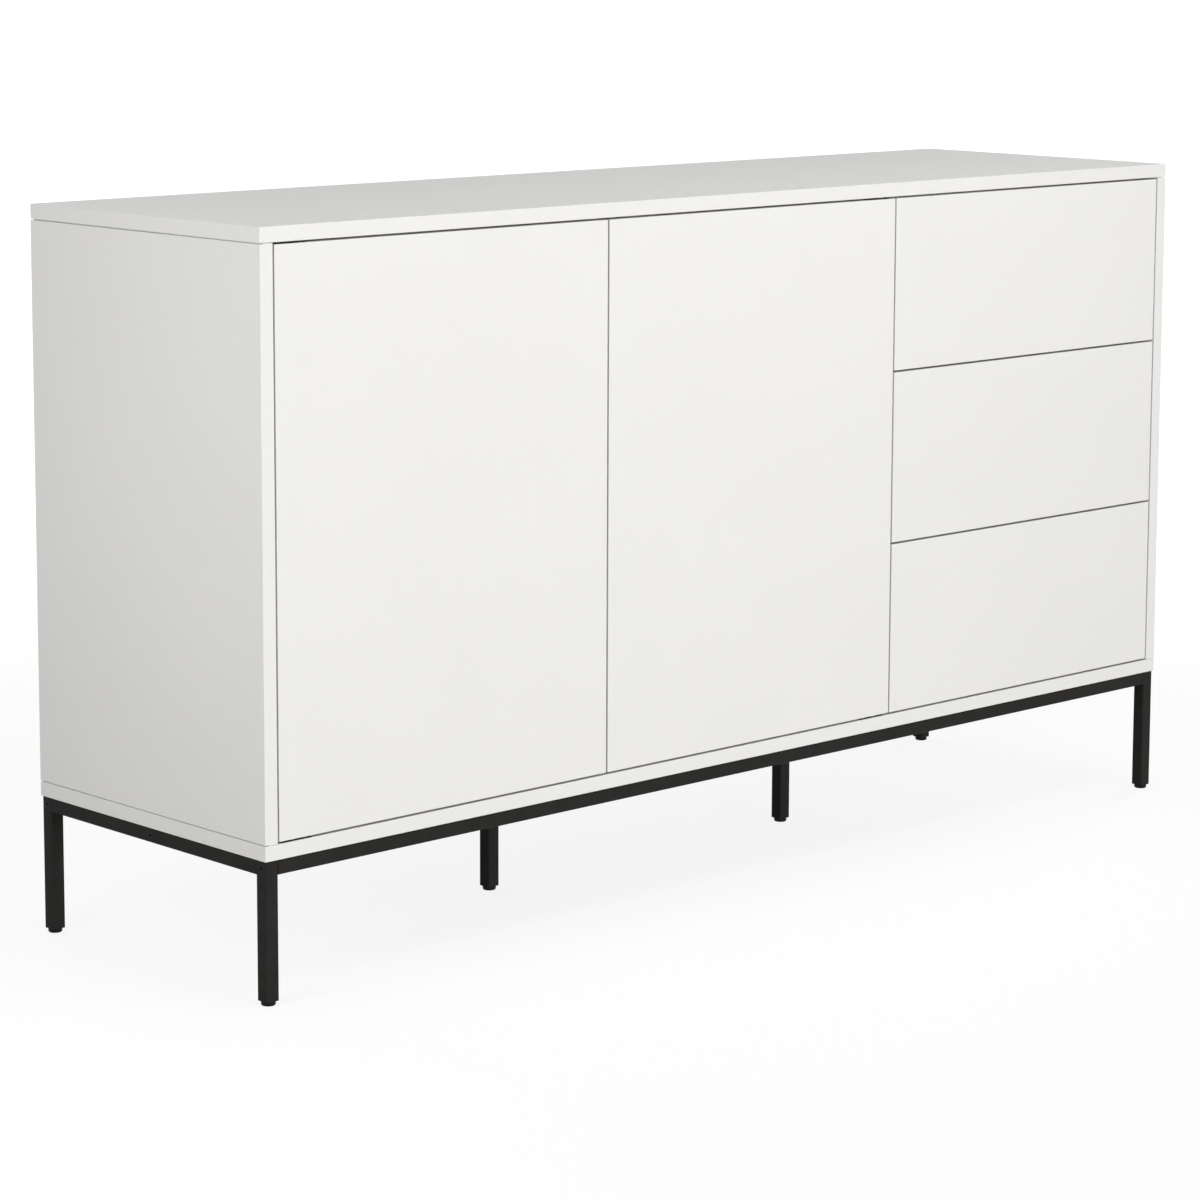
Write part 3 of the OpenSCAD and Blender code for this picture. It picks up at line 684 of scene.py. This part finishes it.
class BoardSettings(bpy.types.PropertyGroup):
    case_colour: FloatVectorProperty(
        name="Case", description="Colour of the case's lacquer",
        default=linear("#EFEEEC"), **COLOUR)
    front_colour: FloatVectorProperty(
        name="Fronts", description="Colour of the doors' and drawer fronts' lacquer",
        default=linear("#EFEEEC"), **COLOUR)
    drawer_colour: FloatVectorProperty(
        name="Drawer boxes", description="Colour of the drawers' sides and backs",
        default=linear("#EBEAE7"), **COLOUR)
    back_colour: FloatVectorProperty(
        name="Hardboard", description="Colour of the back panels and drawer bottoms",
        default=linear("#E3E1DD"), **COLOUR)
    arris: FloatProperty(
        name="Arris", description="Radius of the lacquered boards' edges",
        default=0.6 * MM, min=0, **LENGTH)
    drawer_arris: FloatProperty(
        name="Drawer arris", description="Radius of the drawer boxes' edges",
        default=0.6 * MM, min=0, **LENGTH)
    joint_gap: FloatProperty(
        name="Joint gap", description="Height of the shadow line between a side and the deck boards",
        default=1.4 * MM, min=0.1 * MM, **LENGTH)
    joint_depth: FloatProperty(
        name="Joint depth", description="Depth of the shadow line in a side's outer face",
        default=4.5 * MM, min=0.1 * MM, **LENGTH)
    front_joint_gap: FloatProperty(
        name="Front joint gap", description="Height of the same line across a side's front edge",
        default=0.5 * MM, min=0.1 * MM, **LENGTH)
    peel_size: FloatProperty(
        name="Orange peel", description="Distance between the waves of the lacquer",
        default=2.0 * MM, min=0.1 * MM, **LENGTH)
    peel_depth: FloatProperty(
        name="Peel depth", description="Height of the waves of the lacquer",
        default=0.006 * MM, min=0, unit="LENGTH", subtype="DISTANCE", precision=6)


def side_board(node, boards):
    """An end of the case, with a shadow line along its joints with the top and bottom boards."""
    low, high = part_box(node)
    middle = (low + high) / 2
    size = high - low
    outer_x = low.x if low.x < 0 else high.x
    cutters = []
    for joint_z in (low.z, high.z):
        cutters.append(bar(
            (2 * boards.joint_depth, 2 * size.y, 2 * boards.joint_gap),
            (outer_x, middle.y, joint_z),
        ))
        cutters.append(bar(
            (2 * size.x, 2 * boards.joint_depth, 2 * boards.front_joint_gap),
            (middle.x, low.y, joint_z),
        ))
    return carve(merged_copy(node), cutters)


class SIDEBOARD_OT_case_boards(bpy.types.Operator):
    """Make the boards of the case and its shelves, with eased edges"""

    bl_idname = "sideboard.case_boards"
    bl_label = "Case boards"

    def execute(self, context):
        boards = context.scene.sideboard_boards
        lacquer = white_lacquer("White lacquer on the case", boards.case_colour, boards)
        for node in CASE_BOARDS:
            shape = side_board(node, boards) if node in SIDES else None
            carry_over(node, lacquer, box_edges, boards.arris, shape=shape)
        return {"FINISHED"}


class SIDEBOARD_OT_fronts(bpy.types.Operator):
    """Make the doors and the drawer fronts, with eased edges"""

    bl_idname = "sideboard.fronts"
    bl_label = "Doors and drawer fronts"

    def execute(self, context):
        boards = context.scene.sideboard_boards
        lacquer = white_lacquer("White lacquer on the fronts", boards.front_colour, boards)
        for node in (*DOORS, *(row + "_drawer_front" for row in ROWS)):
            carry_over(node, lacquer, box_edges, boards.arris)
        return {"FINISHED"}


class SIDEBOARD_OT_drawer_boxes(bpy.types.Operator):
    """Make the sides and backs of the drawers"""

    bl_idname = "sideboard.drawer_boxes"
    bl_label = "Drawer boxes"

    def execute(self, context):
        boards = context.scene.sideboard_boards
        face = melamine(boards)
        for row in ROWS:
            carry_over(row + "_drawer_sides", face, box_edges, boards.drawer_arris)
            carry_over(row + "_drawer_back", face, box_edges, boards.drawer_arris)
        return {"FINISHED"}


class SIDEBOARD_OT_thin_panels(bpy.types.Operator):
    """Finish the back panels and the drawer bottoms"""

    bl_idname = "sideboard.thin_panels"
    bl_label = "Back panels and drawer bottoms"

    def execute(self, context):
        hardboard = printed_hardboard(context.scene.sideboard_boards)
        for node in ("back_panels", *(row + "_drawer_bottom" for row in ROWS)):
            paint(node, hardboard)
        return {"FINISHED"}


# ---- Base ----

class BaseSettings(bpy.types.PropertyGroup):
    steel_colour: FloatVectorProperty(
        name="Powder coat", description="Colour of the coated steel",
        default=linear("#2C2B2A"), **COLOUR)
    bolt_colour: FloatVectorProperty(
        name="Bolts", description="Colour of the blackened bolts",
        default=linear("#1C1C1D"), **COLOUR)
    glide_colour: FloatVectorProperty(
        name="Glides", description="Colour of the plastic glides",
        default=linear("#171716"), **COLOUR)
    pebble_size: FloatProperty(
        name="Pebbles", description="Distance between the pebbles of the powder coat",
        default=0.8 * MM, min=0.1 * MM, **LENGTH)
    tube_radius: FloatProperty(
        name="Tube corner", description="Radius of the tube's own corners",
        default=2.0 * MM, min=0, **LENGTH)
    cut_edge: FloatProperty(
        name="Cut edge", description="Radius of the coat over the legs' sawn lower ends",
        default=0.5 * MM, min=0, **LENGTH)
    fillet: FloatProperty(
        name="Weld fillet", description="Leg length of the welds in the inner corners",
        default=2.5 * MM, min=0, **LENGTH)
    ripples: IntProperty(
        name="Weld ripples", description="Number of ripples along a weld", default=10, min=1)
    glide_edge: FloatProperty(
        name="Glide edge", description="Radius of the glides' edges",
        default=0.4 * MM, min=0, **LENGTH)


def lower_end_edges(bm):
    """The outer edges of the legs' lower ends."""
    low = box_of(bm.verts)[0].z
    return [
        edge for edge in corner_edges(bm)
        if all(abs(vert.co.z - low) < SAME_POINT for vert in edge.verts)
    ]


class SIDEBOARD_OT_base_tubes(bpy.types.Operator):
    """Make the legs and rails of the base and the tabs that carry the case"""

    bl_idname = "sideboard.base_tubes"
    bl_label = "Base tubes"

    def execute(self, context):
        base = context.scene.sideboard_base
        coat = powder_coat(base)
        for node in (*CORNER_LEGS, "middle_legs"):
            carry_over(node, coat, lower_end_edges, base.cut_edge, segments=2)
        for node in RAILS:
            carry_over(node, coat)
        carry_over("mounting_tabs", coat, box_edges, base.cut_edge, segments=2)
        return {"FINISHED"}


# The number of flats across a weld's hollow face
HOLLOW_FLATS = 4
# The size of a weld between two ripples, as a share of its size at one
RIPPLE_WAIST = 0.94


def add_weld(bm, start, run, arms, size, ripples):
    """Adds a hollow weld that fills the corner between two faces.

    It starts at a point of the corner's line and runs along it, and arms are the directions
    of the two faces away from that line.
    """
    first, second = (Vector(arm) * size for arm in arms)
    start, run = Vector(start), Vector(run)
    middle = start + first + second
    rim = [
        middle - second * math.cos(angle) - first * math.sin(angle)
        for angle in (math.pi / 2 * flat / HOLLOW_FLATS for flat in range(HOLLOW_FLATS + 1))
    ]
    ring = [bm.verts.new(point) for point in [start, *rim]]
    face = bm.faces.new(ring)
    swell = 1.0
    for ripple in range(1, ripples + 1):
        grown = bmesh.ops.extrude_face_region(bm, geom=[face])["geom"]
        if ripple > 1:
            bmesh.ops.delete(bm, geom=[face], context="FACES_ONLY")
        face = next(thing for thing in grown if isinstance(thing, bmesh.types.BMFace))
        wanted = RIPPLE_WAIST if ripple % 2 and ripple < ripples else 1.0
        before = start + run * (ripple - 1) / ripples
        for vert in (thing for thing in grown if isinstance(thing, bmesh.types.BMVert)):
            vert.co = before + run / ripples + (vert.co - before) * wanted / swell
        swell = wanted


class SIDEBOARD_OT_base_welds(bpy.types.Operator):
    """Make the welds of the end frames and of the middle legs"""

    bl_idname = "sideboard.base_welds"
    bl_label = "Base welds"

    def execute(self, context):
        base = context.scene.sideboard_base
        coat = bpy.data.materials[COATED_STEEL]
        bm = bmesh.new()
        radius = base.tube_radius
        for node in CORNER_LEGS:
            low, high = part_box(node)
            inward = -1 if low.y > 0 else 1
            face_y = low.y if inward < 0 else high.y
            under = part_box("left_rail")[0].z
            width = high.x - low.x - 2 * radius
            add_weld(
                bm, (low.x + radius, face_y, under), (width, 0, 0),
                ((0, inward, 0), (0, 0, -1)), base.fillet, base.ripples,
            )
            # Ground flush where the leg's rounded corners meet the rail
            for face_x, side in ((low.x, 1), (high.x, -1)):
                add_weld(
                    bm, (face_x, face_y, under + radius), (0, 0, high.z - under - 2 * radius),
                    ((side, 0, 0), (0, -inward, 0)), radius, 1,
                )
        legs = merged_copy("middle_legs")
        for verts in solids(legs):
            low, high = box_of(verts)
            for face_x, side in ((low.x, -1), (high.x, 1)):
                add_weld(
                    bm, (face_x, low.y + radius, high.z), (0, high.y - low.y - 2 * radius, 0),
                    ((side, 0, 0), (0, 0, -1)), base.fillet, base.ripples,
                )
        legs.free()
        bmesh.ops.remove_doubles(bm, verts=bm.verts[:], dist=SAME_POINT)
        bmesh.ops.recalc_face_normals(bm, faces=bm.faces[:])
        make_piece("base_welds", bm, coat, body="case", slot="black_steel")
        return {"FINISHED"}


class SIDEBOARD_OT_frame_bolts(bpy.types.Operator):
    """Finish the countersunk bolts that hold the end frames"""

    bl_idname = "sideboard.frame_bolts"
    bl_label = "Frame bolts"

    def execute(self, context):
        paint("frame_bolts", black_oxide(context.scene.sideboard_base))
        return {"FINISHED"}


class SIDEBOARD_OT_glides(bpy.types.Operator):
    """Make the plastic glides in the legs"""

    bl_idname = "sideboard.glides"
    bl_label = "Glides"

    def execute(self, context):
        base = context.scene.sideboard_base
        plastic = moulded_plastic(
            "Black moulded polyethylene", base.glide_colour, grain_size=0.4 * MM, specular=0.1,
        )
        carry_over("glides", plastic, corner_edges, base.glide_edge, segments=2)
        return {"FINISHED"}


# ---- Fittings ----

class FittingSettings(bpy.types.PropertyGroup):
    zinc_colour: FloatVectorProperty(
        name="Zinc", description="Colour of the zinc plated parts",
        default=linear("#D4D7D9"), **COLOUR)
    beech_colour: FloatVectorProperty(
        name="Beech", description="Colour of the dowels",
        default=linear("#D8B588"), **COLOUR)
    latch_colour: FloatVectorProperty(
        name="Latches", description="Colour of the latches' plastic",
        default=linear("#C9C9C7"), **COLOUR)
    latch_edge: FloatProperty(
        name="Latch edge", description="Radius of the latches' edges",
        default=0.8 * MM, min=0, **LENGTH)
    pin_edge: FloatProperty(
        name="Shelf pin edge", description="Radius of the shelf pins' ends",
        default=0.8 * MM, min=0, **LENGTH)
    thread_pitch: FloatProperty(
        name="Thread pitch", description="Distance between the turns of the screws' threads",
        default=1.3 * MM, min=0.5 * MM, **LENGTH)
    flat_head: FloatProperty(
        name="Flat head", description="Height of the head of a countersunk screw",
        default=1.7 * MM, min=0.5 * MM, **LENGTH)
    pan_head: FloatProperty(
        name="Pan head", description="Height of the head of a screw of the base",
        default=2.5 * MM, min=0.5 * MM, **LENGTH)
    recess_size: FloatProperty(
        name="Cross recess", description="Size of the screws' cross recess, as a share of the head",
        default=0.56, min=0.2, max=0.8)


class SIDEBOARD_OT_board_joints(bpy.types.Operator):
    """Finish the cams, cam bolts and dowels that hold the boards together"""

    bl_idname = "sideboard.board_joints"
    bl_label = "Cams and dowels"

    def execute(self, context):
        fittings = context.scene.sideboard_fittings
        zinc = zinc_plate(fittings)
        for node in ("cam_locks", "cam_bolts"):
            paint(node, zinc)
        paint("dowels", turned_beech(fittings))
        return {"FINISHED"}


class SIDEBOARD_OT_shelf_pins(bpy.types.Operator):
    """Make the shelf pins, with rounded ends"""

    bl_idname = "sideboard.shelf_pins"
    bl_label = "Shelf pins"

    def execute(self, context):
        fittings = context.scene.sideboard_fittings
        zinc = bpy.data.materials[ZINC_STEEL]
        carry_over("shelf_pins", zinc, corner_edges, fittings.pin_edge)
        return {"FINISHED"}


class SIDEBOARD_OT_door_pivots(bpy.types.Operator):
    """Finish the doors' pivot plates, pins and strikers"""

    bl_idname = "sideboard.door_pivots"
    bl_label = "Door pivots"

    def execute(self, context):
        black = bpy.data.materials[OXIDE_STEEL]
        for node in ("case_pivot_plates", "pivot_pins", *(door + "_plates" for door in DOORS)):
            paint(node, black)
        for door in DOORS:
            paint(door + "_striker", bpy.data.materials[ZINC_STEEL])
        return {"FINISHED"}


class SIDEBOARD_OT_latches(bpy.types.Operator):
    """Make the push latches' housings and plungers"""

    bl_idname = "sideboard.latches"
    bl_label = "Push latches"

    def execute(self, context):
        fittings = context.scene.sideboard_fittings
        plastic = moulded_plastic(
            "Grey moulded ABS", fittings.latch_colour, grain_size=0.3 * MM, specular=0.45,
        )
        for node in ("latch_housings", "left_plunger", "middle_plunger"):
            carry_over(node, plastic, corner_edges, fittings.latch_edge)
        return {"FINISHED"}


# What lies this near to an end of a screw belongs to that end's rim
END_RIM = 0.1 * MM


def screw_places(node):
    """For each screw of a node: where its head is, its direction outwards, and its sizes."""
    bm = merged_copy(node)
    found = []
    for verts in solids(bm):
        low, high = box_of(verts)
        size, middle = high - low, (low + high) / 2
        axis = max(range(3), key=lambda i: size[i])
        others = [i for i in range(3) if i != axis]
        reach = [
            max(
                math.hypot(*(vert.co[i] - middle[i] for i in others))
                for vert in verts if abs(vert.co[axis] - end[axis]) < END_RIM
            )
            for end in (low, high)
        ]
        way = 1 if reach[1] > reach[0] else -1
        head = middle.copy()
        head[axis] = high[axis] if way > 0 else low[axis]
        outward = Vector((0, 0, 0))
        outward[axis] = way
        found.append((head, outward, size[axis], max(reach), min(reach)))
    bm.free()
    return found


# Outline of a domed head, from its middle outwards: shares of its radius and of its height
DOME = ((0, 0), (0.35, 0.02), (0.65, 0.1), (0.87, 0.3), (0.98, 0.65), (0.98, 1))
# The number of flats round a screw
SCREW_FLATS = 20
# A thread's root and crest and the blunt point, as shares of the shank's radius
ROOT, CREST, POINT = 0.7, 0.97, 0.25
# A cross recess: the width of its arms and its depth, as shares of its size and of the head's
# height, and how it narrows to its floor
ARM_WIDTH = 0.24
RECESS_DEPTH = 0.75
RECESS_TAPER = (0.45, 0.6, 1)


def cross_recess(across, depth):
    """The two arms of a cross recess, as shapes to carve with."""
    arms = []
    for turn in (0, math.pi / 2):
        arm = bar((across, ARM_WIDTH * across, 2 * depth))
        bottom = [vert for vert in arm.verts if vert.co.z < 0]
        bmesh.ops.scale(arm, vec=RECESS_TAPER, verts=bottom)
        bmesh.ops.rotate(
            arm, cent=(0, 0, 0), matrix=Matrix.Rotation(turn, 3, "Z"), verts=arm.verts[:],
        )
        arms.append(arm)
    return arms


def screw_blank(length, head_r, shank_r, head_h, domed, fittings):
    """A screw that points down from its head, with ring threads and a cross recess."""
    pitch = fittings.thread_pitch
    neck, tip, point_h = 0.6 * MM, 2.4 * MM, 0.2 * MM
    if domed:
        profile = [(radius * head_r, -depth * head_h) for radius, depth in DOME]
        profile.append((shank_r, -head_h))
    else:
        profile = [
            (0, 0), (head_r - 0.25 * MM, 0), (head_r - 0.15 * MM, -0.1 * MM), (shank_r, -head_h),
        ]
    height = -head_h - neck
    while height - pitch > tip - length:
        profile += [(ROOT * shank_r, height), (CREST * shank_r, height - pitch / 2)]
        height -= pitch
    profile += [(ROOT * shank_r, tip - length), (POINT * shank_r, point_h - length), (0, -length)]
    screw = spin_profile(profile, SCREW_FLATS)
    return carve(screw, cross_recess(2 * head_r * fittings.recess_size, RECESS_DEPTH * head_h))


class SIDEBOARD_OT_screws(bpy.types.Operator):
    """Make the screws of the plates, runners, strikers and base"""

    bl_idname = "sideboard.screws"
    bl_label = "Screws"

    def execute(self, context):
        fittings = context.scene.sideboard_fittings
        zinc = bpy.data.materials[ZINC_STEEL]
        turns = random.Random(11)
        for node in SCREW_NODES:
            domed = node == "base_screws"
            places = screw_places(node)
            head_h = fittings.pan_head if domed else fittings.flat_head
            _, _, length, head_r, shank_r = places[0]
            blank = screw_blank(length, head_r, shank_r, head_h, domed, fittings)
            matrices = [
                Matrix.Translation(head) @ outward.to_track_quat("Z", "Y").to_matrix().to_4x4()
                @ Matrix.Rotation(turns.uniform(0, math.tau), 4, "Z")
                for head, outward, *_ in places
            ]
            make_piece("finished_" + node, put_copies(blank, matrices), zinc, node)
        return {"FINISHED"}


# ---- Runners ----

class RunnerSettings(bpy.types.PropertyGroup):
    steel_colour: FloatVectorProperty(
        name="Steel", description="Colour of the runners",
        default=linear("#CBCDCF"), **COLOUR)
    streak_size: FloatProperty(
        name="Streaks", description="Width of the rolling streaks",
        default=0.5 * MM, min=0.1 * MM, **LENGTH)
    bend: FloatProperty(
        name="Bend", description="Radius of the channels' bends and edges",
        default=0.5 * MM, min=0, **LENGTH)


class SIDEBOARD_OT_runners(bpy.types.Operator):
    """Make the three channels of each drawer runner, with rolled bends"""

    bl_idname = "sideboard.runners"
    bl_label = "Drawer runners"

    def execute(self, context):
        runners = context.scene.sideboard_runners
        steel = rolled_steel(runners)
        channels = [row + part for row in ROWS for part in ("_middle_runners", "_drawer_runners")]
        for node in ("outer_runners", *channels):
            carry_over(node, steel, bend_edges, runners.bend, segments=2)
        return {"FINISHED"}


# ---- Panel and registration ----

GROUPS = {
    "sideboard_stage": StageSettings,
    "sideboard_boards": BoardSettings,
    "sideboard_base": BaseSettings,
    "sideboard_fittings": FittingSettings,
    "sideboard_runners": RunnerSettings,
}
STEPS = (
    SIDEBOARD_OT_stage,
    SIDEBOARD_OT_case_boards,
    SIDEBOARD_OT_fronts,
    SIDEBOARD_OT_drawer_boxes,
    SIDEBOARD_OT_thin_panels,
    SIDEBOARD_OT_base_tubes,
    SIDEBOARD_OT_base_welds,
    SIDEBOARD_OT_frame_bolts,
    SIDEBOARD_OT_glides,
    SIDEBOARD_OT_board_joints,
    SIDEBOARD_OT_shelf_pins,
    SIDEBOARD_OT_door_pivots,
    SIDEBOARD_OT_latches,
    SIDEBOARD_OT_screws,
    SIDEBOARD_OT_runners,
)


class SIDEBOARD_PT_panel(bpy.types.Panel):
    """The sideboard's settings and the steps that make it"""

    bl_idname = "SIDEBOARD_PT_panel"
    bl_label = "Sideboard"
    bl_space_type = "VIEW_3D"
    bl_region_type = "UI"
    bl_category = "Sideboard"

    def draw(self, context):
        layout = self.layout
        for name, group in GROUPS.items():
            settings = getattr(context.scene, name)
            box = layout.box()
            for prop in group.__annotations__:
                box.prop(settings, prop)
        column = layout.column(align=True)
        for step in STEPS:
            column.operator(step.bl_idname)


def register():
    for group in (*GROUPS.values(), *STEPS, SIDEBOARD_PT_panel):
        bpy.utils.register_class(group)
    for name, group in GROUPS.items():
        setattr(bpy.types.Scene, name, PointerProperty(type=group))


def unregister():
    for name in GROUPS:
        delattr(bpy.types.Scene, name)
    for group in (SIDEBOARD_PT_panel, *reversed(STEPS), *GROUPS.values()):
        bpy.utils.unregister_class(group)


def main():
    register()
    for step in STEPS:
        family, action = step.bl_idname.split(".")
        getattr(getattr(bpy.ops, family), action)()


if __name__ == "__main__":
    main()
